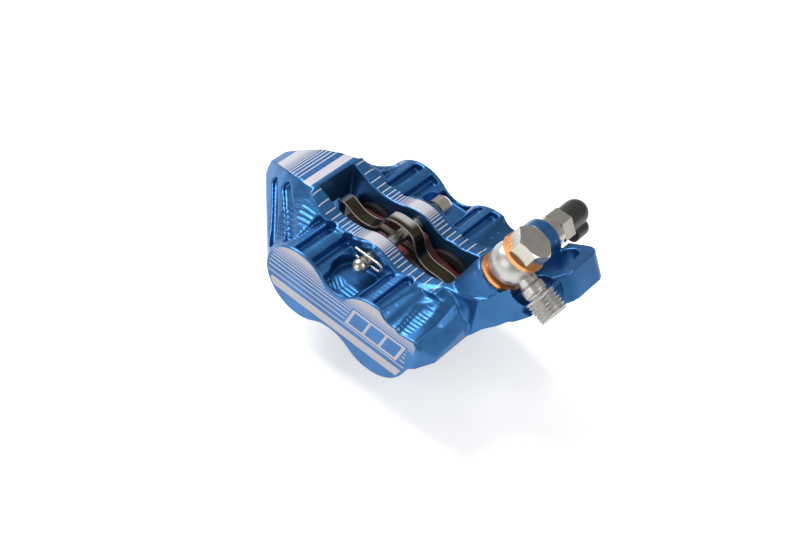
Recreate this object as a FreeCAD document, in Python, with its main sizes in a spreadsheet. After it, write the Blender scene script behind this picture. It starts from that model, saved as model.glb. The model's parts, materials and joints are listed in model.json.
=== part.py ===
import FreeCAD, Part
import math
import os
from FreeCAD import Placement, Rotation, Vector

# Four-piston bicycle disc brake caliper: one-piece body with post-mount ears.
# Frame: the origin lies on the disc plane, midway between the two piston lines.
# X runs along the row of pistons towards the hose end, Y is the piston axis
# (-Y is the outer face of the brake, +Y the frame or fork side), and Z points
# away from the wheel axle. The mount line is tilted about Y against the row.

doc = FreeCAD.newDocument("BrakeCaliper")
sheet = doc.addObject("Spreadsheet::Sheet", "Sizes")

SIZES = {
    "HalfWidth": 26.35,      # disc plane to the outer face
    "LobeGap": 13.5,         # origin to each piston line
    "LeadLobe": 11.85,       # outer radius round the small pistons
    "TrailLobe": 12.5,       # outer radius round the large pistons
    "CavityHalf": 6.9,       # half width of the pad window
    "WindowLeft": -25.1,
    "WindowRight": 22.0,
    "RimHalf": 12.6,         # half width of the raised window frame
    "SlotHalf": 3.0,         # half width of the disc slot in the bridges
    "DiscClear": 91.5,       # radius kept clear round a 180 mm disc
    "AxleDrop": 82.5,        # origin down to the wheel axle
    "EarTilt": 29.0,
    "BoltSpacing": 74.2,
    "EarSide": 15.0,         # mount bolts to the disc plane
    "EarAlong": 46.6,        # hose-end bolt, measured along the mount line
    "EarFace": -8.9,         # mount face, measured square to the mount line
    "EarThick": 8.5,
    "EarSlotHalf": 3.25,
    "EarSlotRun": 5.2,       # how far the slot lets the caliper shift sideways
    "SmallPiston": 8.0,
    "LargePiston": 9.0,
    "PistonLength": 12.0,
    "BoreFit": 0.05,
    "SealThick": 2.0,
    "SealDepth": 1.45,
    "SealAt": 8.3,
    "BoreBottom": 22.4,
    "CapThick": 3.0,
    "DiscGap": 1.3,          # half of the gap between the friction faces
    "FrictionThick": 2.1,
    "PlateThick": 1.8,
    "PinHeight": 11.0,
    "PinRadius": 2.0,
    "SeatAlong": 32.4,
    "SeatHeight": 21.1,
    "WasherRadius": 6.0,
    "WasherThick": 1.2,
    "BanjoHeight": 8.2,
    "ThreadRadius": 4.3,
    "ArmSwing": 6.0,         # free turn of the banjo each way, degrees
    "NippleAlong": 32.0,
    "NippleHeight": 20.3,
    "NippleSeat": 20.0,
}

for row, (alias, value) in enumerate(SIZES.items(), start=1):
    sheet.set("A%d" % row, alias)
    sheet.set("B%d" % row, str(value))
    sheet.setAlias("B%d" % row, alias)
doc.recompute()


def size(alias):
    return float(sheet.get(alias))


def bind(obj, prop, rule):
    """Set a property to a number, or tie it to a rule written with sheet aliases."""
    if isinstance(rule, str):
        words = rule.split()
        linked = ["Sizes." + word if word in SIZES else word for word in words]
        obj.setExpression(prop, " ".join(linked))
    else:
        setattr(obj, prop, rule)


steps_made = []


def fresh(kind):
    obj = doc.addObject(kind, "Step%03d" % len(steps_made))
    steps_made.append(obj)
    return obj


def upright(axis):
    return Rotation(Vector(0, 0, 1), Vector(*axis))


def box(length, width, height, corner):
    obj = fresh("Part::Box")
    bind(obj, "Length", length)
    bind(obj, "Width", width)
    bind(obj, "Height", height)
    obj.Placement = Placement(Vector(*corner), Rotation())
    return obj


def cylinder(radius, height, start, axis=(0, 1, 0)):
    obj = fresh("Part::Cylinder")
    bind(obj, "Radius", radius)
    bind(obj, "Height", height)
    obj.Placement = Placement(Vector(*start), upright(axis))
    return obj


def cone(radius1, radius2, height, start, axis=(0, 1, 0)):
    obj = fresh("Part::Cone")
    bind(obj, "Radius1", radius1)
    bind(obj, "Radius2", radius2)
    bind(obj, "Height", height)
    obj.Placement = Placement(Vector(*start), upright(axis))
    return obj


def sphere(radius, centre):
    obj = fresh("Part::Sphere")
    bind(obj, "Radius", radius)
    obj.Placement = Placement(Vector(*centre), Rotation())
    return obj


def hexagon(flats, height, start, axis=(0, 1, 0), turn=0.0):
    obj = fresh("Part::Prism")
    obj.Polygon = 6
    bind(obj, "Circumradius", flats / math.sqrt(3.0))
    bind(obj, "Height", height)
    obj.Placement = Placement(Vector(*start), upright(axis) * Rotation(Vector(0, 0, 1), turn))
    return obj


def outline(steps, lift):
    """Closed wire from points; a (via, end) pair of points stands for an arc."""
    edges = []
    first = lift(*steps[0])
    here = first
    for step in steps[1:]:
        if isinstance(step[0], tuple):
            there = lift(*step[1])
            edges.append(Part.Arc(here, lift(*step[0]), there).toShape())
        else:
            there = lift(*step)
            edges.append(Part.makeLine(here, there))
        here = there
    if (here - first).Length > 1e-6:
        edges.append(Part.makeLine(here, first))
    return Part.Wire(edges)


def run_out(wire, way, length):
    base = fresh("Part::Feature")
    base.Shape = Part.Face(wire)
    run = fresh("Part::Extrusion")
    run.Base = base
    run.DirMode = "Custom"
    run.Dir = way
    run.Solid = True
    run.LengthFwd = length
    return run


def side_prism(steps, low, high):
    """Solid from an outline in the XZ plane, running along Y."""
    wire = outline(steps, lambda x, z: Vector(x, low, z))
    return run_out(wire, Vector(0, 1, 0), high - low)


def fuse(pieces):
    obj = fresh("Part::MultiFuse")
    obj.Shapes = pieces
    return obj


def cut(base, tools):
    obj = fresh("Part::Cut")
    obj.Base = base
    obj.Tool = tools[0] if len(tools) == 1 else fuse(tools)
    return obj


def common(base, tool):
    obj = fresh("Part::Common")
    obj.Base = base
    obj.Tool = tool
    return obj


def loft(sections):
    wires = []
    for points in sections:
        wire = fresh("Part::Feature")
        corners = [Vector(*point) for point in points]
        wire.Shape = Part.makePolygon(corners + [corners[0]])
        wires.append(wire)
    obj = fresh("Part::Loft")
    obj.Sections = wires
    obj.Solid = True
    obj.Ruled = True
    return obj


def half_space(point, outward, reach=80.0):
    """Large block covering everything beyond a plane."""
    obj = fresh("Part::Box")
    obj.Length = reach
    obj.Width = reach
    obj.Height = reach
    frame = Placement(Vector(*point), upright(outward))
    obj.Placement = frame.multiply(Placement(Vector(-reach / 2, -reach / 2, 0), Rotation()))
    return obj


nodes = []


def node(label, obj):
    obj.Label = label
    nodes.append(obj)


half = size("HalfWidth")
gap = size("LobeGap")
lead = size("LeadLobe")
trail = size("TrailLobe")
cavity = size("CavityHalf")
tilt = math.radians(size("EarTilt"))
along_dir = Vector(math.cos(tilt), 0, math.sin(tilt))
square_dir = Vector(-math.sin(tilt), 0, math.cos(tilt))
hose_axis = Vector(0.377, 0.246, 0.893).normalize()
arm_axis = Vector(0.9255, -0.063, -0.3734).normalize()
seat = Vector(size("SeatAlong"), 0, size("SeatHeight"))
WINDOW_LEFT = (size("WindowLeft"), 16.8)
WINDOW_RIGHT = (size("WindowRight"), 14.1)
WASHER = size("WasherThick")
BANJO = size("BanjoHeight")
EYE_CENTRE = seat + hose_axis * (WASHER + BANJO / 2)


def mount_point(along, side, height):
    """Place given along the mount line, across it and square to the mount face."""
    return along_dir * along + square_dir * height + Vector(0, side, 0)


def mount_prism(steps, low, high):
    """Solid from an outline in the mount plane, running square to it."""
    wire = outline(steps, lambda along, side: mount_point(along, side, low))
    return run_out(wire, square_dir, high - low)


# ------------------------------------------------------------ body: outer shape

def lobes():
    return [cylinder("LeadLobe", "2 * HalfWidth", (-gap, -half, 0)),
            cylinder("TrailLobe", "2 * HalfWidth", (gap, -half, 0))]


def waist():
    """Web between the lobes, hollowed above and below by fillets that rest on both."""
    sides = []
    for radius, way in ((7.6, 1.0), (11.4, -1.0)):
        reach_a = lead + radius
        reach_b = trail + radius
        x = (reach_a ** 2 - reach_b ** 2) / (4.0 * gap)
        z = way * math.sqrt(reach_a ** 2 - (x + gap) ** 2)
        on_a = (-gap + (x + gap) * lead / reach_a, z * lead / reach_a)
        on_b = (gap + (x - gap) * trail / reach_b, z * trail / reach_b)
        sides.append((on_a, (x, z - way * radius), on_b))
    (top_a, top_mid, top_b), (low_a, low_mid, low_b) = sides
    return side_prism([top_a, (top_mid, top_b), (gap, 0), low_b, (low_mid, low_a), (-gap, 0)],
                      -half, half)


def window_frame():
    """Raised frame: arched over the nose, dipped over each lobe, humped at the pad pin."""
    rim = size("RimHalf")
    outline_top = [WINDOW_LEFT, ((-15.5, 12.7), (-5.6, 13.6)), ((0.6, 15.0), (6.0, 13.0)),
                   ((13.0, 11.8), WINDOW_RIGHT)]
    frame = side_prism(outline_top + [(24.0, 13.0), (24.0, -6.0), (-25.1, -3.0)], -rim, rim)
    corners = [half_space((-25.4, side * 10.4, 0.0), (-0.35, side * 0.94, 0.0)) for side in (-1, 1)]
    return cut(frame, corners)


def ribbon(x, top, low, inner, outer, shoulder, foot):
    """Cross-section at x: flat top, hollow flank down to the foot, flat underside."""
    middle = inner + (outer - inner) * 0.42
    near = [(x, -inner, top), (x, -middle, shoulder), (x, -outer, foot), (x, -outer, low)]
    return near + [(x, -y, z) for x, y, z in reversed(near)]


def nose():
    """Leading bridge, narrow at its tip and flaring to both outer faces."""
    return loft([
        ribbon(-48.2, 6.8, 3.8, 2.0, 3.2, 6.0, 5.2),
        ribbon(-47.0, 8.6, 2.8, 3.1, 5.0, 7.0, 5.0),
        ribbon(-42.0, 11.5, 1.0, 5.0, 9.8, 8.2, 3.6),
        ribbon(-36.9, 13.9, -0.8, 6.9, 14.6, 9.0, 2.6),
        ribbon(-31.0, 15.7, -2.8, 8.3, 20.2, 9.8, 2.4),
        ribbon(-25.1, 16.8, -4.4, 9.2, 25.6, 10.4, 3.6),
        ribbon(-19.5, 14.0, -6.0, 10.8, half, 11.2, 9.8),
    ])


def tail():
    """Trailing shoulders on both sides, falling away beyond the large pistons."""
    return loft([
        ribbon(14.0, 12.0, -8.0, 12.0, half, 11.8, 11.2),
        ribbon(21.0, 13.9, -6.0, 9.0, half, 10.4, 9.2),
        ribbon(24.6, 13.6, -3.6, 8.8, half, 10.6, 9.6),
        ribbon(27.2, 12.4, -0.8, 8.8, half, 10.2, 9.9),
        ribbon(28.6, 10.8, 0.4, 8.8, half, 8.8, 7.9),
        ribbon(31.6, 7.0, 1.6, 8.8, 21.4, 5.0, 3.4),
    ])


def arm():
    """Block from the trailing bridge to the hose-end ear, cut slantwise on its outer side."""
    low_arm = side_prism([(20.0, 13.0), WINDOW_RIGHT, (27.0, 15.0), (33.0, 17.9), (44.0, 22.0),
                          (47.0, 16.4), (41.5, 12.6), (38.0, 8.8), (34.9, 6.6), (32.0, 2.6),
                          (27.0, -1.0), (20.0, -3.0)], -8.8, 14.0)
    collar = side_prism([(30.0, 10.0), (34.0, 18.0), (38.4, 23.3), (44.4, 20.4), (47.0, 16.4),
                         (41.0, 11.0)], -8.8, 5.4)
    base = seat - hose_axis * 14.0
    tower = cylinder(6.7, 14.0, tuple(base), tuple(hose_axis))
    outer_side = half_space((33.0, -8.9, 10.0), (0.60, -0.80, 0.0))
    return [cut(fuse([low_arm, collar]), [outer_side]), tower]


def ears():
    """Two mount ears in one plane; the hose-end one is rounded towards the disc."""
    near = 5.6
    far = 23.6
    low = size("EarFace")
    high = low + size("EarThick")
    there = size("EarAlong")
    back = there - size("BoltSpacing")
    hose_ear = mount_prism([(there - 14.0, far), (there + 3.0, far),
                            ((there + 5.8, far - 1.1), (there + 6.8, far - 3.6)),
                            (there + 6.8, near + 6.0), ((there + 5.0, near + 1.8), (there, near)),
                            (there - 14.0, near)], low, high)
    lead_ear = mount_prism([(back - 6.4, near + 6.4), ((back - 4.6, near + 3.6), (back - 1.0, near + 2.6)),
                            (back + 13.0, near + 2.6), (back + 13.0, far), (back - 3.0, far),
                            ((back - 5.6, far - 1.1), (back - 6.4, far - 3.6))], low, high)
    return [hose_ear, lead_ear]


def nipple_boss():
    start = (size("NippleAlong"), 4.0, size("NippleHeight"))
    return cylinder(6.0, "NippleSeat - 4", start)


# ------------------------------------------------------------- body: cut-outs

def pad_window():
    left = size("WindowLeft")
    return box("WindowRight - WindowLeft", "2 * CavityHalf", 60.0, (left, -cavity, -30.0))


def disc_slot():
    slot = size("SlotHalf")
    return cylinder("DiscClear", "2 * SlotHalf", (0, -slot, -size("AxleDrop")))


def bores():
    """Blind bores on the outer side, through bores with a cap recess on the far side."""
    tools = []
    bottom = size("BoreBottom")
    for x, piston in ((-gap, "SmallPiston"), (gap, "LargePiston")):
        wide = size(piston) + size("SealDepth")
        fit = "SmallPiston + BoreFit" if piston == "SmallPiston" else "LargePiston + BoreFit"
        tools.append(cylinder(fit, bottom * 2, (x, -bottom, 0)))
        for start in (size("SealAt"), -size("SealAt") - size("SealThick")):
            tools.append(cylinder(wide, "SealThick", (x, start, 0)))
        tools.append(cylinder(size(piston) + 0.9, 8.0, (x, bottom, 0)))
    return tools


def end_slot(x, width, start, floor):
    """Cooling slot milled outwards from the window frame, stopping short of the face."""
    tools = []
    stop = half - 1.3
    for side in (-1.0, 1.0):
        tools.append(cylinder(width / 2, 12.0, (x, side * (start + width / 2), floor), (0, 0, 1)))
        low = min(side * (start + width / 2), side * stop)
        tools.append(box(width, stop - start - width / 2, 12.0, (x - width / 2, low, floor)))
    return tools


def cooling_slots():
    tools = []
    for x, width, start, floor in ((-15.0, 3.0, 11.2, 9.2), (-8.9, 3.0, 11.2, 8.5),
                                   (7.9, 2.2, 12.8, 9.3), (13.0, 2.8, 11.2, 10.3)):
        tools.extend(end_slot(x, width, start, floor))
    return tools


def pin_recess():
    """Hollow between the lobes that bares both ends of the pad pin."""
    tools = []
    for side in (-1.0, 1.0):
        tools.append(cylinder(6.6, 14.0, (-0.3, side * 18.4, 6.0), (0, 0, 1)))
        tools.append(box(10.4, 7.4, 14.0, (-5.5, min(side * 18.0, side * 25.4), 6.0)))
    return tools


def pin_bosses():
    """Six-sided bosses round both ends of the pad pin's hole."""
    return [hexagon(10.2, 2.0, (0.3, y, 9.1), turn=30) for y in (-12.9, 10.9)]


def trailing_scoop():
    """Shallow hollow between each large lobe and the trailing shoulder, fading out inwards."""
    return [cylinder(4.6, 16.0, (19.4, side * 12.8, 15.9), (0.0, side, -0.10)) for side in (-1.0, 1.0)]


def flank_pocket(start, stop, normal, width, depth):
    """Long round-ended pocket sunk into a nose flank."""
    run = stop - start
    across = normal.cross(run).normalize()
    block = fresh("Part::Box")
    block.Length = run.Length
    block.Width = width
    block.Height = depth * 3
    turn = Rotation(run, across, normal, "ZXY")
    block.Placement = Placement(start - across * (width / 2) - normal * depth, turn)
    ends = [cylinder(width / 2, depth * 3, tuple(point - normal * depth), tuple(normal))
            for point in (start, stop)]
    return [block] + ends


def nose_pockets():
    tools = []
    for start, stop, width in ((Vector(-41.0, -8.6, 8.6), Vector(-26.0, -22.4, 3.2), 2.6),
                               (Vector(-35.0, -10.6, 12.0), Vector(-22.0, -22.4, 9.4), 3.2)):
        for side in (1.0, -1.0):
            a = Vector(start.x, start.y * side, start.z)
            b = Vector(stop.x, stop.y * side, stop.z)
            tools.extend(flank_pocket(a, b, Vector(-0.45, -0.62 * side, 0.64).normalize(), width, 2.4))
    return tools


def mount_slots():
    """Slots for the two mount bolts, and head room above the leading ear."""
    tools = []
    shift = size("EarSlotRun") / 2
    radius = size("EarSlotHalf")
    low = size("EarFace") - 1.0
    high = low + size("EarThick") + 2.0
    middle = size("EarSide")
    for along in (size("EarAlong"), size("EarAlong") - size("BoltSpacing")):
        tools.append(mount_prism([(along - radius, middle - shift),
                                  ((along, middle - shift - radius), (along + radius, middle - shift)),
                                  (along + radius, middle + shift),
                                  ((along, middle + shift + radius), (along - radius, middle + shift))],
                                 low, high))
    along = size("EarAlong") - size("BoltSpacing")
    head = mount_point(along, middle, size("EarFace") + size("EarThick"))
    tools.append(cylinder(5.4, 40.0, tuple(head), tuple(square_dir)))
    return tools


def hose_cuts():
    """Spot face for the fitting, its threaded hole, and a fan-shaped path for the hose arm."""
    tools = [cylinder(6.9, 14.0, tuple(seat), tuple(hose_axis)),
             cylinder(3.05, 10.0, tuple(seat - hose_axis * 9.0), tuple(hose_axis))]
    swing = size("ArmSwing")
    for turn in (-swing, 0.0, swing):
        way = Rotation(hose_axis, turn).multVec(arm_axis)
        tools.append(cylinder("ThreadRadius + 0.5", 20.0, tuple(EYE_CENTRE + way * 3.0), tuple(way)))
    nut_room = cylinder("ThreadRadius + 2.6", 13.0, tuple(EYE_CENTRE + arm_axis * 10.9), tuple(arm_axis))
    return tools + [nut_room]


def nipple_hole():
    """Threaded hole, and room for a spanner over the ear."""
    along = size("NippleAlong")
    height = size("NippleHeight")
    hole = cylinder(3.05, 14.0, (along, 9.0, height))
    return fuse([hole, cylinder(5.8, 14.0, (along, size("NippleSeat"), height))])


def pin_hole():
    return cylinder("PinRadius + 0.04", "2 * HalfWidth", (0, -half, size("PinHeight")))


def caliper_body():
    outer = fuse(lobes() + [waist(), window_frame(), nose(), tail(), nipple_boss()] + arm() + ears())
    outer = fuse([cut(outer, pin_recess())] + pin_bosses())
    tools = [pad_window(), disc_slot(), nipple_hole(), pin_hole()]
    tools += bores() + cooling_slots() + trailing_scoop()
    tools += nose_pockets() + mount_slots() + hose_cuts()
    return cut(outer, tools)


node("caliper_body", caliper_body())


# -------------------------------------------------------- hydraulic inner pieces

PISTONS = (("lead", -gap, "SmallPiston"), ("trail", gap, "LargePiston"))
PLATE_BACK = size("DiscGap") + size("FrictionThick") + size("PlateThick")


def piston(x, radius, side):
    """Cup piston, open towards the pad."""
    face = PLATE_BACK + 0.15
    start = (x, side * face, 0)
    way = (0, side, 0)
    barrel = cylinder(radius, "PistonLength", start, way)
    hollow = cylinder(radius + " - 2.6", "PistonLength - 3", start, way)
    return cut(barrel, [hollow])


def seal(x, radius, side):
    """Square-cut ring in its groove."""
    start = (x, side * (size("SealAt") + 0.05), 0)
    way = (0, side, 0)
    ring = cylinder(radius + " + SealDepth - 0.04", "SealThick - 0.1", start, way)
    inside = cylinder(radius + " + 0.03", "SealThick - 0.1", start, way)
    return cut(ring, [inside])


def bore_cap(x, radius):
    """Screwed plug that closes a bore on the frame side, with three spanner holes."""
    start = half - size("CapThick")
    disc = cylinder(radius + " + 0.87", "CapThick", (x, start, 0))
    holes = []
    for turn in range(3):
        angle = math.radians(90 + 120 * turn)
        reach = size(radius) * 0.62
        holes.append(cylinder(1.1, 2.0, (x + reach * math.cos(angle), half - 1.6,
                                         reach * math.sin(angle))))
    return cut(disc, holes)


def cap_ring(x, radius):
    start = (x, size("BoreBottom") + 0.05, 0)
    ring = cylinder(radius + " + 0.85", 0.85, start)
    inside = cylinder(radius + " + 0.1", 0.85, start)
    return cut(ring, [inside])


for end, x, radius in PISTONS:
    for face_name, side in (("outer", -1.0), ("inner", 1.0)):
        node("piston_%s_%s" % (end, face_name), piston(x, radius, side))
        node("seal_%s_%s" % (end, face_name), seal(x, radius, side))
    node("bore_cap_%s" % end, bore_cap(x, radius))
    node("cap_ring_%s" % end, cap_ring(x, radius))


# ------------------------------------------------------------------- brake pads

def backing_plate(side):
    """Steel plate with a tab notched round the underside of the pad pin."""
    inner = size("DiscGap") + size("FrictionThick")
    low = min(side * inner, side * PLATE_BACK)
    plate = side_prism([(-23.2, -7.0), (-23.2, 4.4), (-15.0, 6.2), ((-8.4, 7.9), (-5.6, 10.6)),
                        ((-4.9, 11.2), (-4.0, 11.4)), (4.0, 11.4), ((4.9, 11.2), (5.6, 10.6)),
                        ((7.8, 7.9), (13.0, 6.2)), (20.4, 4.4), (20.4, -7.0), (15.0, -10.6),
                        (-17.0, -10.6)], low, low + size("PlateThick"))
    notch = cylinder("PinRadius + 0.25", 20.0, (0, -10.0, size("PinHeight")))
    return cut(plate, [notch])


def friction(side):
    inner = size("DiscGap")
    low = min(side * inner, side * (inner + size("FrictionThick")))
    return side_prism([(-20.8, -6.6), (-20.8, 2.6), ((-14.0, 5.6), (-1.4, 6.6)),
                       ((11.0, 5.6), (18.0, 2.6)), (18.0, -6.6), (13.6, -9.4), (-15.6, -9.4)],
                      low, low + size("FrictionThick"))


for face_name, side in (("outer", -1.0), ("inner", 1.0)):
    node("pad_plate_%s" % face_name, backing_plate(side))
    node("pad_friction_%s" % face_name, friction(side))


# ---------------------------------------------------- pad spring, pin and clip

def spring_strip():
    """Formed steel strip: low wings over the friction blocks, arched over the pin."""
    line = [(-21.8, 9.6), (-20.2, 10.4), (-16.0, 8.8), (-10.6, 8.4), (-7.2, 10.2), (-5.0, 14.6),
            (0.0, 16.2), (5.0, 14.6), (7.2, 10.0), (10.2, 7.8), (14.6, 7.4), (20.0, 5.8)]
    thick = 0.5
    curve = Part.BSplineCurve()
    curve.interpolate([Vector(x, 0, z) for x, z in line])
    upper = []
    lower = []
    count = 48
    for i in range(count + 1):
        at = curve.FirstParameter + (curve.LastParameter - curve.FirstParameter) * i / count
        point = curve.value(at)
        way = curve.tangent(at)[0]
        normal = Vector(-way.z, 0, way.x)
        upper.append(point + normal * (thick / 2))
        lower.append(point - normal * (thick / 2))
    shift = Vector(0, -2.05, 0)
    top = Part.BSplineCurve()
    top.interpolate([p + shift for p in upper])
    low = Part.BSplineCurve()
    low.interpolate([p + shift for p in reversed(lower)])
    ends = [Part.makeLine(upper[-1] + shift, lower[-1] + shift),
            Part.makeLine(lower[0] + shift, upper[0] + shift)]
    wire = Part.Wire([top.toShape(), ends[0], low.toShape(), ends[1]])
    return run_out(wire, Vector(0, 1, 0), 4.1)


def pad_pin():
    """Stainless pin with a round head on the frame side and a drilled, domed tip."""
    height = size("PinHeight")
    shank = cylinder("PinRadius", 30.6, (0, -16.4, height))
    tip = sphere(2.2, (0, -17.2, height))
    head = cylinder(3.1, 3.8, (0, 14.2, height))
    crown = cone(3.1, 2.4, 0.9, (0, 18.0, height))
    drilled = cylinder(0.7, 8.0, (-4.0, -15.0, height), (1, 0, 0))
    return cut(fuse([shank, tip, head, crown]), [drilled])


def pin_clip():
    """Spring clip: one leg through the pin, a bend, and one leg back over the pin."""
    height = size("PinHeight")
    wire = 0.36
    side = -15.0
    bend = 1.35
    leg = cylinder(wire, 7.6, (-3.2, side, height), (1, 0, 0))
    turn = fresh("Part::Torus")
    turn.Radius1 = bend
    turn.Radius2 = wire
    turn.Angle3 = 180.0
    lie = upright((0, 1, 0)) * Rotation(Vector(0, 0, 1), -90)
    turn.Placement = Placement(Vector(4.4, side, height + bend), lie)
    back = cylinder(wire, 8.2, (-3.8, side, height + 2 * bend), (1, 0, 0))
    return fuse([leg, turn, back])


node("pad_spring", spring_strip())
node("pad_pin", pad_pin())
node("pin_clip", pin_clip())


# ------------------------------------------------------------------ hose fitting

def on_bolt(distance):
    return tuple(seat + hose_axis * distance)


def washer(start):
    ring = cylinder("WasherRadius", "WasherThick", on_bolt(start), tuple(hose_axis))
    hole = cylinder(3.25, 3.0, on_bolt(start - 1.0), tuple(hose_axis))
    return cut(ring, [hole])


def on_arm(distance):
    return tuple(EYE_CENTRE + arm_axis * distance)


def banjo():
    """Ball-shaped eye on the bolt with a necked, threaded hose arm."""
    ball = sphere(6.1, tuple(EYE_CENTRE))
    slab = cylinder(9.0, "BanjoHeight", on_bolt(WASHER), tuple(hose_axis))
    eye = common(ball, slab)
    neck = cylinder(2.8, 11.0, on_arm(0), tuple(arm_axis))
    flare = cone(2.8, 3.9, 1.2, on_arm(10.1), tuple(arm_axis))
    thread = cylinder("ThreadRadius", 6.2, on_arm(11.3), tuple(arm_axis))
    hole = cylinder(3.15, 20.0, on_bolt(-5.0), tuple(hose_axis))
    bore = cylinder(2.4, 6.0, on_arm(12.6), tuple(arm_axis))
    return cut(fuse([eye, neck, flare, thread]), [hole, bore])


def banjo_bolt():
    """Drilled hexagon-head bolt that clamps the eye between two copper washers."""
    head_at = 2 * WASHER + BANJO
    shank = cylinder(3.0, head_at + 8.0, on_bolt(-8.0), tuple(hose_axis))
    head = hexagon(9.6, 4.6, on_bolt(head_at), tuple(hose_axis), turn=10)
    return common(fuse([shank, head]), cone(60.0, 4.6, 36.0, on_bolt(head_at - 31.2), tuple(hose_axis)))


node("washer_lower", washer(0.0))
node("washer_upper", washer(WASHER + BANJO))
node("banjo", banjo())
node("banjo_bolt", banjo_bolt())


# ----------------------------------------------------------------- bleed nipple

NIPPLE = (size("NippleAlong"), size("NippleHeight"))
NIPPLE_SEAT = size("NippleSeat")


def on_nipple(y):
    return (NIPPLE[0], y, NIPPLE[1])


def bleed_nipple():
    """Screwed nipple: thread, collar, hexagon and a nose for the bleed hose."""
    pieces = [cylinder(3.0, 10.2, on_nipple(NIPPLE_SEAT - 10.0)),
              cylinder(4.6, 3.4, on_nipple(NIPPLE_SEAT + 0.1)),
              hexagon(8.8, 4.4, on_nipple(NIPPLE_SEAT + 3.5)),
              cylinder(2.4, 3.0, on_nipple(NIPPLE_SEAT + 7.9)),
              cone(3.0, 2.3, 4.6, on_nipple(NIPPLE_SEAT + 10.2))]
    drilled = cylinder(0.9, 30.0, on_nipple(NIPPLE_SEAT - 4.0))
    return cut(fuse(pieces), [drilled])


def nipple_cap():
    """Rubber dust cap with a side lug where its strap folds back."""
    start = NIPPLE_SEAT + 8.3
    shell = fuse([cylinder(3.9, 5.9, on_nipple(start)), sphere(3.9, on_nipple(start + 5.9))])
    inside = cylinder(3.15, 7.0, on_nipple(start - 0.1))
    lug = fuse([cylinder(2.5, 4.2, (NIPPLE[0] + 2.6, start + 2.2, NIPPLE[1] - 4.0)),
                sphere(2.5, (NIPPLE[0] + 2.6, start + 6.4, NIPPLE[1] - 4.0))])
    return cut(fuse([shell, lug]), [inside])


node("bleed_nipple", bleed_nipple())
node("nipple_cap", nipple_cap())


# ------------------------------------------------------------- check and export

doc.recompute()
for obj in doc.Objects:
    if "Invalid" in obj.State or "Error" in obj.State:
        raise SystemExit("failed object: %s %s" % (obj.Name, obj.Label))
os.makedirs("parts", exist_ok=True)
for obj in nodes:
    shape = obj.Shape
    if shape.isNull() or not shape.isValid():
        raise SystemExit("bad shape: " + obj.Label)
    if len(shape.Solids) != 1:
        raise SystemExit("%s has %d solids" % (obj.Label, len(shape.Solids)))
    shape.exportStep("parts/%s.step" % obj.Label)
    print("%-22s %10.2f mm3" % (obj.Label, shape.Volume))
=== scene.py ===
"""Looks of a four-piston bicycle disc brake caliper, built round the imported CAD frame."""
import json
import math

import bmesh
import bpy
import numpy as np
from mathutils import Matrix, Vector


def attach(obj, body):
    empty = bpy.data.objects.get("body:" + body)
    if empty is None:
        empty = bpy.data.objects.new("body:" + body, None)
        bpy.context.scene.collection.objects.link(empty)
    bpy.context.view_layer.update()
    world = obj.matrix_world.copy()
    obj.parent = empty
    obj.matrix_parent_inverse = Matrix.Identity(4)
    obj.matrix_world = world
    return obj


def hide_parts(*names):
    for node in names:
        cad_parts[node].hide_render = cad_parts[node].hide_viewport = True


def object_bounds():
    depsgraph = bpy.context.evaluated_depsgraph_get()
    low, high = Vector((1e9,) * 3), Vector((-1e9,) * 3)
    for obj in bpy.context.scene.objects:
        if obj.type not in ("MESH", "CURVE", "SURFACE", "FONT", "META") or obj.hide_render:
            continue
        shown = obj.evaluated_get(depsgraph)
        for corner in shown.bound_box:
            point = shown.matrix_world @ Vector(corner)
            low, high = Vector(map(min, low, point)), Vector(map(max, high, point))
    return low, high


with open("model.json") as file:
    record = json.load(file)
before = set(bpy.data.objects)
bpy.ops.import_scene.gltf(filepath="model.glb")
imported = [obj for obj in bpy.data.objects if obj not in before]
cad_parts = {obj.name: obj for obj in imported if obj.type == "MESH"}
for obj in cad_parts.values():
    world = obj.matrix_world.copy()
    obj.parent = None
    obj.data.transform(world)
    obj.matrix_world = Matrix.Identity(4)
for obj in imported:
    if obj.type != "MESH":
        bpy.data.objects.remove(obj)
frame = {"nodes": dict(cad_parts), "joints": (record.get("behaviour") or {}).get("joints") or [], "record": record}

CAD_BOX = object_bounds()
MM = 0.001
RING_POINTS = 96       # points round each turned shape
nodes = frame["nodes"]
joints = {joint["name"]: joint for joint in frame["joints"]}


# ------------------------------------------------------------------ small helpers

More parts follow.
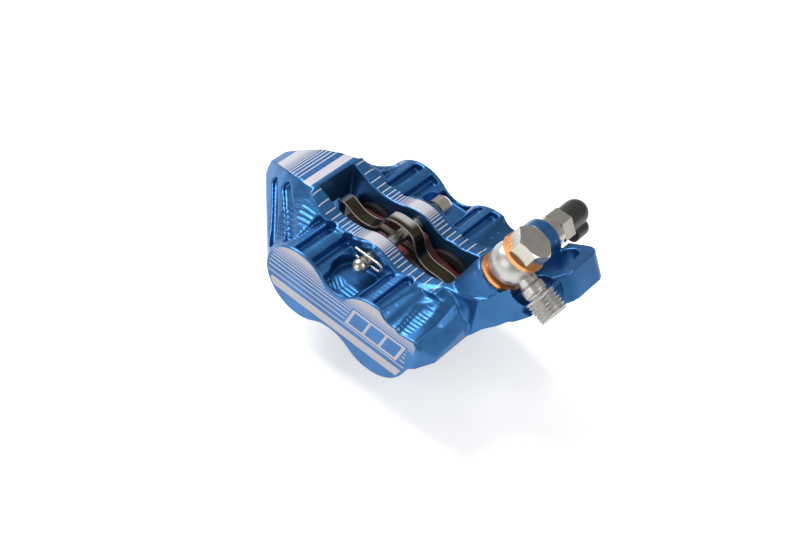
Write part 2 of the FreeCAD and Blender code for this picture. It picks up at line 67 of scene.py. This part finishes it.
class Shader:
    """One procedural material; object coordinates come in millimetres."""

    def __init__(self, name):
        self.material = bpy.data.materials.new(name)
        self.material.use_nodes = True
        self.tree = self.material.node_tree
        self.bsdf = self.tree.nodes["Principled BSDF"]
        coordinates = self.add("ShaderNodeTexCoord").outputs["Object"]
        scale = self.add("ShaderNodeVectorMath", operation="SCALE")
        self.link(coordinates, scale.inputs[0])
        scale.inputs["Scale"].default_value = 1.0 / MM
        self.place = scale.outputs[0]
        split = self.add("ShaderNodeSeparateXYZ")
        self.link(self.place, split.inputs[0])
        self.x, self.y, self.z = split.outputs
        facing = self.add("ShaderNodeSeparateXYZ")
        self.link(self.add("ShaderNodeNewGeometry").outputs["Normal"], facing.inputs[0])
        _, self.ny, self.nz = facing.outputs

    def add(self, kind, **settings):
        node = self.tree.nodes.new(kind)
        for key, value in settings.items():
            setattr(node, key, value)
        return node

    def link(self, output, socket):
        self.tree.links.new(output, socket)

    def put(self, socket, value):
        if isinstance(value, bpy.types.NodeSocket):
            self.link(value, socket)
        else:
            socket.default_value = value

    def math(self, operation, a, b=0.0, clamp=False):
        node = self.add("ShaderNodeMath", operation=operation, use_clamp=clamp)
        self.put(node.inputs[0], a)
        self.put(node.inputs[1], b)
        return node.outputs[0]

    def span(self, value, low, high, out_low=0.0, out_high=1.0):
        """Smooth rise from out_low to out_high as value goes from low to high."""
        node = self.add("ShaderNodeMapRange", interpolation_type="SMOOTHSTEP")
        for socket, number in zip(node.inputs, (value, low, high, out_low, out_high)):
            self.put(socket, number)
        return node.outputs[0]

    def between(self, value, low, high, soft=0.06):
        rise = self.span(value, low - soft, low + soft)
        return self.math("MULTIPLY", rise, self.span(value, high - soft, high + soft, 1.0, 0.0))

    def times(self, *factors):
        result = factors[0]
        for factor in factors[1:]:
            result = self.math("MULTIPLY", result, factor)
        return result

    def largest(self, *values):
        result = values[0]
        for value in values[1:]:
            result = self.math("MAXIMUM", result, value)
        return result

    def noise(self, scale, detail=3.0, stretch=(1.0, 1.0, 1.0)):
        """Noise with scale in cycles per millimetre."""
        shape = self.add("ShaderNodeVectorMath", operation="MULTIPLY")
        self.link(self.place, shape.inputs[0])
        shape.inputs[1].default_value = stretch
        node = self.add("ShaderNodeTexNoise")
        self.link(shape.outputs[0], node.inputs["Vector"])
        node.inputs["Scale"].default_value = scale
        node.inputs["Detail"].default_value = detail
        return node.outputs["Fac"]

    def blend(self, factor, a, b):
        node = self.add("ShaderNodeMix", data_type="RGBA")
        self.put(node.inputs[0], factor)
        for socket, colour in ((node.inputs[6], a), (node.inputs[7], b)):
            self.put(socket, colour if isinstance(colour, bpy.types.NodeSocket) else (*colour, 1.0))
        return node.outputs[2]

    def bump(self, height, depth_mm):
        node = self.add("ShaderNodeBump")
        node.inputs["Strength"].default_value = 1.0
        node.inputs["Distance"].default_value = depth_mm * MM
        self.link(height, node.inputs["Height"])
        self.link(node.outputs[0], self.bsdf.inputs["Normal"])

    def edges(self, low=0.52, high=0.62):
        """Convex edges, where a lighter colour is painted in as a highlight."""
        return self.span(self.add("ShaderNodeNewGeometry").outputs["Pointiness"], low, high)

    def finish(self, colour, roughness, metallic=0.0, **constants):
        self.put(self.bsdf.inputs["Base Color"],
                 colour if isinstance(colour, bpy.types.NodeSocket) else (*colour, 1.0))
        self.put(self.bsdf.inputs["Roughness"], roughness)
        self.put(self.bsdf.inputs["Metallic"], metallic)
        for name, value in constants.items():
            self.bsdf.inputs[name.replace("_", " ")].default_value = value
        return self.material


def dress(obj, material):
    obj.data.materials.clear()
    obj.data.materials.append(material)


def smooth(obj):
    obj.data.polygons.foreach_set("use_smooth", [True] * len(obj.data.polygons))


def soften(obj, width_mm):
    """Small rounds along the sharp edges of a CAD node."""
    merge = obj.modifiers.new("merge", "DECIMATE")
    merge.decimate_type = "DISSOLVE"
    merge.angle_limit = math.radians(0.6)
    bevel = obj.modifiers.new("round", "BEVEL")
    bevel.width = width_mm * MM
    bevel.segments = 2
    bevel.limit_method = "ANGLE"
    bevel.angle_limit = math.radians(35)
    bevel.miter_outer = "MITER_ARC"
    bevel.harden_normals = False
    obj.modifiers.new("shade", "WEIGHTED_NORMAL").keep_sharp = True
    smooth(obj)


def piece(name, mesh, body, material):
    obj = bpy.data.objects.new(name, mesh)
    bpy.context.scene.collection.objects.link(obj)
    dress(obj, material)
    smooth(obj)
    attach(obj, body)
    return obj


def grid_mesh(name, rings, closed=True):
    """Surface through rings of points; closed also joins the last ring to the first."""
    count = len(rings)
    wide = len(rings[0])
    points = [tuple(point) for ring in rings for point in ring]
    faces = []
    for i in range(count if closed else count - 1):
        here = i * wide
        there = ((i + 1) % count) * wide
        for j in range(wide):
            k = (j + 1) % wide
            faces.append((here + j, here + k, there + k, there + j))
    mesh = bpy.data.meshes.new(name)
    mesh.from_pydata(points, [], faces)
    return mesh


def frame_about(axis):
    """Two directions square to an axis."""
    axis = Vector(axis).normalized()
    side = axis.cross(Vector((0, 1, 0))).normalized()
    return axis, side, axis.cross(side)


def turned(profile, origin, axis):
    """Rings of a closed profile of (radius, height) pairs in mm, turned about an axis."""
    axis, side, other = frame_about(axis)
    rings = []
    for i in range(RING_POINTS):
        angle = 2 * math.pi * i / RING_POINTS
        way = side * math.cos(angle) + other * math.sin(angle)
        rings.append([origin + axis * (h * MM) + way * (r * MM) for r, h in profile])
    return rings


# ---------------------------------------------------------------------- materials

def anodised(name, tint=(0.033, 0.145, 0.36), etched=False, painted_edge_highlight=True):
    """Blue anodised aluminium with tool marks, a painted highlight on convex edges where asked, and laser etching
    where asked.
    """
    s = Shader(name)
    cloud = s.noise(0.08, 4.0)
    fine = s.noise(2.6, 2.0)
    streaks = s.noise(0.9, 3.0, (0.12, 1.0, 1.0))
    deep = tuple(c * 0.78 for c in tint)
    colour = s.blend(s.span(cloud, 0.35, 0.65), deep, tint)
    # painted highlight: convex edges lightened towards a brighter blue
    if painted_edge_highlight:
        colour = s.blend(s.times(s.edges(), 0.5), colour, (0.16, 0.40, 0.75))
    roughness = s.math("ADD", s.span(streaks, 0.3, 0.7, 0.27, 0.37), s.times(fine, 0.05))
    metallic = 0.82
    marks = s.math("ADD", s.times(fine, 0.35), s.times(streaks, 0.9))
    if etched:
        mask = etching(s)
        grain = s.noise(5.0, 2.0)
        colour = s.blend(mask, colour, s.blend(grain, (0.35, 0.345, 0.385), (0.46, 0.45, 0.49)))
        roughness = s.math("ADD", s.times(mask, 0.28), roughness)
        metallic = s.span(mask, 0.0, 1.0, 0.82, 0.25)
    s.bump(marks, 0.012)
    return s.finish(colour, roughness, metallic)


def stripe_run(s, value, limit, first, ratio, width):
    """Lines that close up towards a limit: each lies nearer to it by the ratio, the first at `first` mm."""
    distance = s.math("ABSOLUTE", s.math("SUBTRACT", limit, value))
    distance = s.math("MAXIMUM", distance, 0.05)
    number = s.math("DIVIDE", s.math("LOGARITHM", s.math("DIVIDE", distance, first), math.e), math.log(ratio))
    nearest = s.math("ROUND", number, 0.0)
    line = s.times(first, s.math("POWER", ratio, nearest))
    off = s.math("ABSOLUTE", s.math("SUBTRACT", distance, line))
    return s.span(off, width / 2 - 0.06, width / 2 + 0.08, 1.0, 0.0)


LOBE_X = 13.5          # mm from the middle to each piston line
LINE_WIDTH = 0.40      # mm, etched lines on the outer face and the nose
RIM_LINE_WIDTH = 0.32  # mm, etched lines on the window rim


def from_line(s, x):
    """Distance from a piston line, seen along the pistons."""
    along = s.math("ADD", s.x, -x)
    return s.math("SQRT", s.math("ADD", s.math("POWER", along, 2.0), s.math("POWER", s.z, 2.0)))


def etching(s):
    """Laser pattern: lines closing up to solid areas on the outer face, the nose and the window rim."""
    # outer face: lines along the row of pistons, a broad plain band below and solid areas above
    on_face = s.times(s.span(s.ny, -0.97, -0.90, 1.0, 0.0), s.between(s.y, -27.0, -26.0))
    lead = from_line(s, -LOBE_X)
    trail = from_line(s, LOBE_X)
    inside = s.largest(s.span(lead, 10.6, 10.8, 1.0, 0.0), s.span(trail, 11.6, 11.8, 1.0, 0.0),
                       s.times(s.between(s.x, -LOBE_X, LOBE_X), s.between(s.z, -8.0, 5.9)),
                       s.times(s.between(s.x, LOBE_X, 25.4), s.between(s.z, -8.0, 10.2)))
    upper = s.span(s.z, 4.5, 6.5)
    near_edge = s.largest(s.span(lead, 11.45, 11.65, 1.0, 0.0), s.span(trail, 12.1, 12.3, 1.0, 0.0),
                          s.times(s.between(s.x, LOBE_X, 27.8), s.between(s.z, 4.0, 10.4)))
    inside = s.largest(inside, s.times(upper, near_edge))
    lines = s.times(stripe_run(s, s.z, 12.25, 14.0, 0.85, LINE_WIDTH), s.span(s.z, -2.4, -2.2))
    solid = s.span(s.z, 9.3, 10.0)
    slant = s.math("SUBTRACT", s.x, s.times(s.z, 0.45))
    band = s.times(s.between(s.z, -6.6, -3.5), s.between(slant, -21.2, 26.2))
    mark, blank = plain_mark(s)
    face = s.times(on_face, inside, s.largest(s.times(s.largest(lines, solid), blank), band, mark))
    # top: lines across the row on the nose, a plain band behind them, and lines on both window rims
    on_top = s.span(s.nz, 0.72, 0.82)
    mid = s.math("ABSOLUTE", s.y)
    nose_lines = s.times(stripe_run(s, s.x, -43.5, 11.5, 0.865, LINE_WIDTH),
                         s.span(s.x, -31.6, -31.5, 1.0, 0.0))
    nose_solid = s.span(s.x, -41.0, -40.2, 1.0, 0.0)
    nose_flat = s.span(s.math("ADD", s.y, s.times(s.x, -0.06)), -6.1, -5.9)
    nose_band = s.between(s.x, -29.6, -26.6)
    nose = s.times(s.span(s.z, 10.5, 10.8), s.largest(
        s.times(s.largest(nose_lines, nose_solid), nose_flat), s.times(nose_band, s.span(s.y, -9.1, -8.9))))
    rim_low = s.times(stripe_run(s, s.x, -1.86, 22.14, 0.86, RIM_LINE_WIDTH),
                      s.span(s.x, -4.4, -4.2, 1.0, 0.0))
    rim_high = s.times(stripe_run(s, s.x, -0.8, 17.8, 0.84, RIM_LINE_WIDTH), s.span(s.x, 1.1, 1.3))
    rim_solid = s.between(s.x, -4.6, 1.2)
    rim = s.times(s.largest(rim_low, rim_high, rim_solid), s.between(mid, 7.3, 11.4),
                  s.between(s.x, -24.6, 21.2))
    return s.largest(face, s.times(on_top, s.largest(nose, rim)))


def plain_mark(s):
    """Plain slanted three-cell frame in the corner of the face, and the blank area round it."""
    slant = s.math("SUBTRACT", s.x, s.times(s.z, 0.35))
    outer = s.times(s.between(slant, 4.6, 23.0), s.between(s.z, -1.1, 6.1))
    cells = s.times(s.between(s.z, -0.2, 5.2), s.largest(
        *[s.between(slant, start, start + 4.9) for start in (5.6, 11.35, 17.1)]))
    blank = s.math("SUBTRACT", 1.0, s.times(s.between(slant, 4.1, 23.5), s.between(s.z, -1.3, 6.3)))
    return s.math("SUBTRACT", outer, cells, clamp=True), blank


def steel(name, tint=(0.52, 0.50, 0.45), rough=(0.22, 0.28), stretch=(1.0, 1.0, 1.0), depth=0.001,
          metallic=0.95):
    """Turned or blasted stainless steel."""
    s = Shader(name)
    grain = s.noise(1.2, 2.0, stretch)
    cloud = s.noise(0.25, 3.0)
    colour = s.blend(s.span(cloud, 0.3, 0.7), tuple(c * 0.86 for c in tint), tint)
    s.bump(grain, depth)
    return s.finish(colour, s.span(grain, 0.3, 0.7, *rough), metallic)


def spring_steel():
    """Polished strip with painted reflection: the dark cavity it mirrors painted into its base colour, and painted
    highlights on its sheared edges, its crest and its tip.
    """
    s = Shader("spring_steel")
    cloud = s.noise(0.35, 3.0, (0.4, 1.0, 1.0))
    along = s.noise(2.2, 2.0, (0.1, 1.0, 1.0))
    # painted reflection: dark base colour for the cavity the strip mirrors
    dark = s.blend(cloud, (0.030, 0.026, 0.014), (0.085, 0.068, 0.040))
    side = s.math("ABSOLUTE", s.y)
    crest = s.times(s.between(s.x, -4.6, 2.4, 1.4), s.span(s.z, 13.4, 15.4), s.span(s.y, -0.9, 0.6))
    tip = s.span(s.x, -20.6, -19.4, 1.0, 0.0)
    edge = s.span(side, 1.72, 1.92)
    # painted highlights: light colour on the edges, the crest and the tip
    bright = s.largest(s.times(edge, 0.85), crest, s.times(tip, 0.8))
    colour = s.blend(bright, dark, (0.86, 0.84, 0.80))
    s.bump(along, 0.006)
    return s.finish(colour, s.span(along, 0.3, 0.7, 0.14, 0.24), 0.9)


def painted(name, tint, rough=(0.35, 0.5), edge_highlight=(0.35, 0.33, 0.32)):
    s = Shader(name)
    cloud = s.noise(0.5, 4.0)
    fine = s.noise(4.0, 3.0)
    colour = s.blend(cloud, tuple(c * 0.6 for c in tint), tint)
    # painted highlight: convex edges lightened towards a lighter colour
    colour = s.blend(s.times(s.edges(0.55, 0.66), 0.6), colour, edge_highlight)
    s.bump(fine, 0.02)
    return s.finish(colour, s.span(fine, 0.3, 0.7, *rough))


def compound():
    """Pressed brake lining with metal flecks."""
    s = Shader("friction_compound")
    lumps = s.noise(2.2, 5.0)
    flecks = s.span(s.noise(7.0, 1.0), 0.63, 0.68)
    colour = s.blend(lumps, (0.05, 0.045, 0.04), (0.14, 0.125, 0.11))
    colour = s.blend(flecks, colour, (0.55, 0.38, 0.22))
    s.bump(lumps, 0.12)
    return s.finish(colour, s.span(lumps, 0.3, 0.7, 0.7, 0.9))


def rubber(name, tint=(0.018, 0.017, 0.016), rough=(0.42, 0.62)):
    s = Shader(name)
    fine = s.noise(3.2, 4.0)
    cloud = s.noise(0.3, 3.0)
    colour = s.blend(cloud, tint, tuple(c * 2.2 for c in tint))
    s.bump(fine, 0.03)
    return s.finish(colour, s.span(fine, 0.3, 0.7, *rough), 0.0)


def copper():
    s = Shader("copper")
    cloud = s.noise(0.7, 4.0)
    fine = s.noise(4.0, 3.0)
    colour = s.blend(cloud, (0.60, 0.19, 0.05), (0.76, 0.32, 0.11))
    # painted highlight: convex edges lightened to a pale copper
    colour = s.blend(s.times(s.edges(), 0.5), colour, (0.92, 0.52, 0.26))
    s.bump(fine, 0.015)
    return s.finish(colour, s.span(fine, 0.3, 0.7, 0.24, 0.38), 0.95)


BODY_BLUE = anodised("blue_anodised", etched=True)
CAP_BLUE = anodised("cap_blue", (0.030, 0.135, 0.34), painted_edge_highlight=False)
TURNED = steel("turned_stainless", stretch=(1.0, 0.15, 1.0))
BLASTED = steel("blasted_stainless", (0.54, 0.53, 0.51), (0.34, 0.42), depth=0.003, metallic=0.85)
LOOKS = {
    "piston_phenolic": painted("piston_phenolic", (0.018, 0.017, 0.016), (0.3, 0.45), (0.05, 0.05, 0.05)),
    "seal_rubber": rubber("seal_rubber"),
    "cap_blue": CAP_BLUE,
    "o_ring": rubber("o_ring", (0.012, 0.012, 0.012), (0.3, 0.45)),
    # plate paint: the plates' red darkened nearly to black as painted shade, for plates sitting in the cavity's
    # shadow
    "plate_paint": painted("plate_paint", (0.075, 0.008, 0.007), (0.35, 0.5), (0.20, 0.035, 0.03)),
    "friction_compound": compound(),
    "spring_steel": spring_steel(),
    "stainless": TURNED,
    "copper_washer": copper(),
    "banjo_steel": BLASTED,
    "cap_rubber": rubber("cap_rubber", (0.010, 0.0095, 0.009), (0.30, 0.45)),
}
SLOT_OF = {part["node"]: part["material_slot"] for part in frame["record"]["subparts"]}


# ------------------------------------------------------------------ caliper body

VOXEL = 0.33          # mm
SMOOTHING = 5
# centre and reach in mm, direction of travel, step between passes and depth: rows of cutter marks
CUTTER_ROWS = (
    ((-24.6, -15.5, 9.5), (6.4, 12.0, 6.5), (0, 1, 0), 1.35, 0.46),
    ((-24.6, 15.5, 9.5), (6.4, 12.0, 6.5), (0, 1, 0), 1.35, 0.46),
    ((-18.2, -17.5, 9.4), (2.0, 8.5, 3.0), (0, 1, 0), 1.15, 0.22),
    ((1.6, -23.2, 7.0), (4.4, 3.0, 5.0), (0, 0.8, -0.6), 1.05, 0.30),
    ((-3.2, -23.0, 6.6), (3.4, 3.2, 3.6), (0.5, 0.8, -0.3), 1.0, 0.26),
    ((10.7, -19.5, 11.6), (1.5, 8.5, 2.2), (0, 1, 0), 0.86, 0.20),
    ((22.6, -19.0, 9.6), (2.4, 9.5, 2.6), (0, 1, 0), 1.25, 0.26),
    ((34.2, 18.6, 23.0), (3.6, 3.0, 3.6), (0.8, 0, -0.6), 1.1, 0.15),
)


def remeshed(node, name, voxel, rounds):
    """Even, gently rounded copy of a CAD node's surface."""
    copy = nodes[node].copy()
    copy.data = nodes[node].data.copy()
    copy.parent = None
    bpy.context.scene.collection.objects.link(copy)
    even = copy.modifiers.new("even", "REMESH")
    even.mode = "VOXEL"
    even.voxel_size = voxel * MM
    ease = copy.modifiers.new("ease", "SMOOTH")
    ease.factor = 0.5
    ease.iterations = rounds
    graph = bpy.context.evaluated_depsgraph_get()
    mesh = bpy.data.meshes.new_from_object(copy.evaluated_get(graph))
    mesh.name = name
    bpy.data.objects.remove(copy)
    return mesh


def cutter_marks(mesh):
    """Sinks shallow scallops into the surface where the cutter stepped over."""
    count = len(mesh.vertices)
    place = np.empty(count * 3)
    normal = np.empty(count * 3)
    mesh.vertices.foreach_get("co", place)
    mesh.vertices.foreach_get("normal", normal)
    place = place.reshape(-1, 3) / MM
    normal = normal.reshape(-1, 3)
    depth = np.zeros(count)
    for centre, reach, way, step, deep in CUTTER_ROWS:
        away = np.linalg.norm((place - centre) / np.array(reach), axis=1)
        weight = np.clip(2.2 * (1.0 - away), 0.0, 1.0)
        phase = place @ (np.array(way) / np.linalg.norm(way)) / step
        depth = np.maximum(depth, deep * weight * np.abs(np.sin(np.pi * phase)))
    place -= normal * depth[:, None]
    mesh.vertices.foreach_set("co", (place * MM).ravel())
    mesh.update()


body_mesh = remeshed("caliper_body", "caliper_skin", VOXEL, SMOOTHING)
cutter_marks(body_mesh)
body = piece("caliper_skin", body_mesh, "caliper", BODY_BLUE)
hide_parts("caliper_body")


# -------------------------------------------------------------------- hose fitting

swing = joints["hose_fitting_swing"]
EYE = Vector(swing["pos_m"])
BOLT_AXIS = Vector(swing["axis"]).normalized()
THREAD = next(m for m in frame["record"]["mounts"] if m["name"] == "hose_thread")
ARM_AXIS = Vector(THREAD["axis"]).normalized()
THREAD_RADIUS = THREAD["dims"]["r_mm"]
THREAD_LENGTH = THREAD["dims"]["length_mm"]
THREAD_START = (Vector(THREAD["pos_m"]) - EYE).dot(ARM_AXIS) / MM - THREAD_LENGTH / 2
PITCH = 1.0            # mm
THREAD_DEPTH = 0.55    # mm
BALL_RADIUS = 6.1      # mm
EYE_HALF_HEIGHT = 4.1  # mm
EYE_HOLE = 3.15        # mm
BORE_RADIUS = 2.4      # mm
BORE_DEPTH = 4.6       # mm
ARM_BURIED = 3.5       # mm from the eye's centre: inside the ball's wall, clear of its hole


def eye_rings():
    """Ball cut flat on both sides, with the bolt's hole through it."""
    top = math.acos(EYE_HALF_HEIGHT / BALL_RADIUS)
    angles = np.linspace(top, math.pi - top, 33)
    arc = [(BALL_RADIUS * math.sin(a), BALL_RADIUS * math.cos(a)) for a in angles]
    profile = [(EYE_HOLE, EYE_HALF_HEIGHT)] + arc + [(EYE_HOLE, -EYE_HALF_HEIGHT)]
    return turned(profile, EYE, BOLT_AXIS)


def arm_profile_radius(t):
    """Outer radius of the plain part of the arm at distance t from the eye's centre."""
    steps = ((0.0, 2.75), (7.3, 2.75), (7.7, 3.1), (8.1, 3.25), (9.9, 3.25), (10.3, 2.9), (10.8, 2.9),
             (11.3, 3.6))
    return float(np.interp(t, [a for a, _ in steps], [b for _, b in steps]))


def thread_radius(t, part_turn, end):
    """Radius of the winding thread at distance t and a share of one turn."""
    turn = (t / PITCH - part_turn) % 1.0
    valley = 1.0 - abs(2.0 * turn - 1.0)
    fade = min(1.0, (t - THREAD_START) / 0.8, (end - t) / 0.5)
    crest = THREAD_RADIUS - 0.45 * max(0.0, 1.0 - (end - t) / 0.5)
    return crest - THREAD_DEPTH * max(0.0, fade) * min(1.0, valley * 1.25)


def arm_rings():
    """Neck, collar and a screw thread that really winds, with the hose's bore in the end."""
    axis, side, other = frame_about(ARM_AXIS)
    shares = [i / RING_POINTS for i in range(RING_POINTS)]
    ways = [side * math.cos(2 * math.pi * share) + other * math.sin(2 * math.pi * share)
            for share in shares]
    end = THREAD_START + THREAD_LENGTH
    lengths = list(np.arange(ARM_BURIED, THREAD_START, 0.2))
    lengths += list(np.linspace(THREAD_START, end, 80))
    rings = []
    for t in lengths:
        radii = [thread_radius(t, share, end) if t >= THREAD_START else arm_profile_radius(t)
                 for share in shares]
        rings.append([EYE + axis * (t * MM) + way * (radius * MM) for way, radius in zip(ways, radii)])
    for radius, t in ((3.0, end), (BORE_RADIUS, end - 0.3), (BORE_RADIUS, end - BORE_DEPTH),
                      (0.05, end - BORE_DEPTH - 0.3)):
        rings.append([EYE + axis * (t * MM) + way * (radius * MM) for way in ways])
    return rings


def joined(name, meshes):
    build = bmesh.new()
    for mesh in meshes:
        build.from_mesh(mesh)
    bmesh.ops.recalc_face_normals(build, faces=build.faces)
    mesh = bpy.data.meshes.new(name)
    build.to_mesh(mesh)
    build.free()
    return mesh


def capped(rings, name):
    """Tube through rings, closed by a fan at each end."""
    mesh = grid_mesh(name, rings, closed=False)
    build = bmesh.new()
    build.from_mesh(mesh)
    bmesh.ops.holes_fill(build, edges=[e for e in build.edges if e.is_boundary], sides=0)
    bmesh.ops.recalc_face_normals(build, faces=build.faces)
    build.to_mesh(mesh)
    build.free()
    return mesh


banjo_mesh = joined("banjo_fitting", [grid_mesh("eye", eye_rings()), capped(arm_rings(), "arm")])
banjo = piece("banjo_fitting", banjo_mesh, "hose_fitting", BLASTED)
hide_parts("banjo")
hard = banjo.modifiers.new("crisp", "EDGE_SPLIT")
hard.split_angle = math.radians(50)


# ------------------------------------------------------------ CAD nodes kept as made

ROUNDS = {"pad_spring": 0.10, "pad_pin": 0.25, "pin_clip": 0.05, "banjo_bolt": 0.30,
          "washer_lower": 0.28, "washer_upper": 0.28, "bleed_nipple": 0.25}

REPLACED = ("caliper_body", "banjo", "nipple_cap")

for name, obj in nodes.items():
    if name in REPLACED:
        continue
    dress(obj, LOOKS[SLOT_OF[name]])
    soften(obj, ROUNDS.get(name, 0.15))

cap_mesh = remeshed("nipple_cap", "dust_cap_skin", 0.22, 4)
dust_cap = piece("dust_cap_skin", cap_mesh, "dust_cap", LOOKS["cap_rubber"])
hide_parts("nipple_cap")


# --------------------------------------------------------------- stage and lights

low, high = Vector(CAD_BOX[0]), Vector(CAD_BOX[1])
middle = (low + high) / 2
FLOOR_GAP = 0.0004     # m, so that the part doesn't cut the floor
FLOOR_REACH = 3.0      # m, each way
FLOOR_GLOW = 0.40      # lifts the paper to white while shadows stay grey
WORLD_LIGHT = 0.40


def floor():
    s = Shader("paper")
    grain = s.noise(0.05, 2.0)
    s.finish(s.blend(grain, (0.86, 0.85, 0.835), (0.89, 0.88, 0.865)), 0.9)
    s.bsdf.inputs["Emission Color"].default_value = (1.0, 1.0, 1.0, 1.0)
    s.bsdf.inputs["Emission Strength"].default_value = FLOOR_GLOW
    reach, bottom = FLOOR_REACH, low.z - FLOOR_GAP
    corners = [(-reach, -reach, bottom), (reach, -reach, bottom), (reach, reach, bottom),
               (-reach, reach, bottom)]
    mesh = bpy.data.meshes.new("floor")
    mesh.from_pydata(corners, [], [(0, 1, 2, 3)])
    obj = bpy.data.objects.new("floor", mesh)
    bpy.context.scene.collection.objects.link(obj)
    dress(obj, s.material)


def lamp(name, way, distance, size, power):
    """Soft rectangular light aimed at the middle of the part."""
    data = bpy.data.lights.new(name, "AREA")
    data.shape = "RECTANGLE"
    data.size = size[0]
    data.size_y = size[1]
    data.energy = power
    obj = bpy.data.objects.new(name, data)
    bpy.context.scene.collection.objects.link(obj)
    way = Vector(way).normalized()
    obj.location = middle + way * distance
    obj.rotation_euler = (-way).to_track_quat("-Z", "Y").to_euler()


floor()
lamp("key", (-0.85, 0.05, 0.95), 0.60, (0.36, 0.36), 4.4)
lamp("front", (-0.15, -1.0, 0.45), 0.70, (0.50, 0.35), 1.3)
lamp("side", (1.0, 0.25, 0.8), 0.65, (0.25, 0.45), 1.2)

world = bpy.data.worlds.new("studio")
world.use_nodes = True
world.node_tree.nodes["Background"].inputs["Color"].default_value = (1.0, 1.0, 1.0, 1.0)
world.node_tree.nodes["Background"].inputs["Strength"].default_value = WORLD_LIGHT
bpy.context.scene.world = world
bpy.context.scene.view_settings.view_transform = "Standard"


# ------------------------------------------------------------------------- camera

AZIMUTH, ELEVATION, ROLL = (math.radians(a) for a in (34.21, 45.68, 9.50))
CAMERA_PLACE = Vector((0.15120, -0.22074, 0.27279))
CAMERA_LENS = 61.5     # mm
back = Vector((math.sin(AZIMUTH) * math.cos(ELEVATION), -math.cos(AZIMUTH) * math.cos(ELEVATION),
               math.sin(ELEVATION)))
level = Vector((math.cos(AZIMUTH), math.sin(AZIMUTH), 0.0))
above = back.cross(level)
right = level * math.cos(ROLL) + above * math.sin(ROLL)
up = above * math.cos(ROLL) - level * math.sin(ROLL)
view = bpy.data.cameras.new("camera")
view.lens = CAMERA_LENS
view.sensor_width = 36.0
view.clip_start = 0.01
camera = bpy.data.objects.new("camera", view)
bpy.context.scene.collection.objects.link(camera)
camera.matrix_world = Matrix((
    (right.x, up.x, back.x, CAMERA_PLACE.x), (right.y, up.y, back.y, CAMERA_PLACE.y),
    (right.z, up.z, back.z, CAMERA_PLACE.z), (0, 0, 0, 1)))
bpy.context.scene.camera = camera
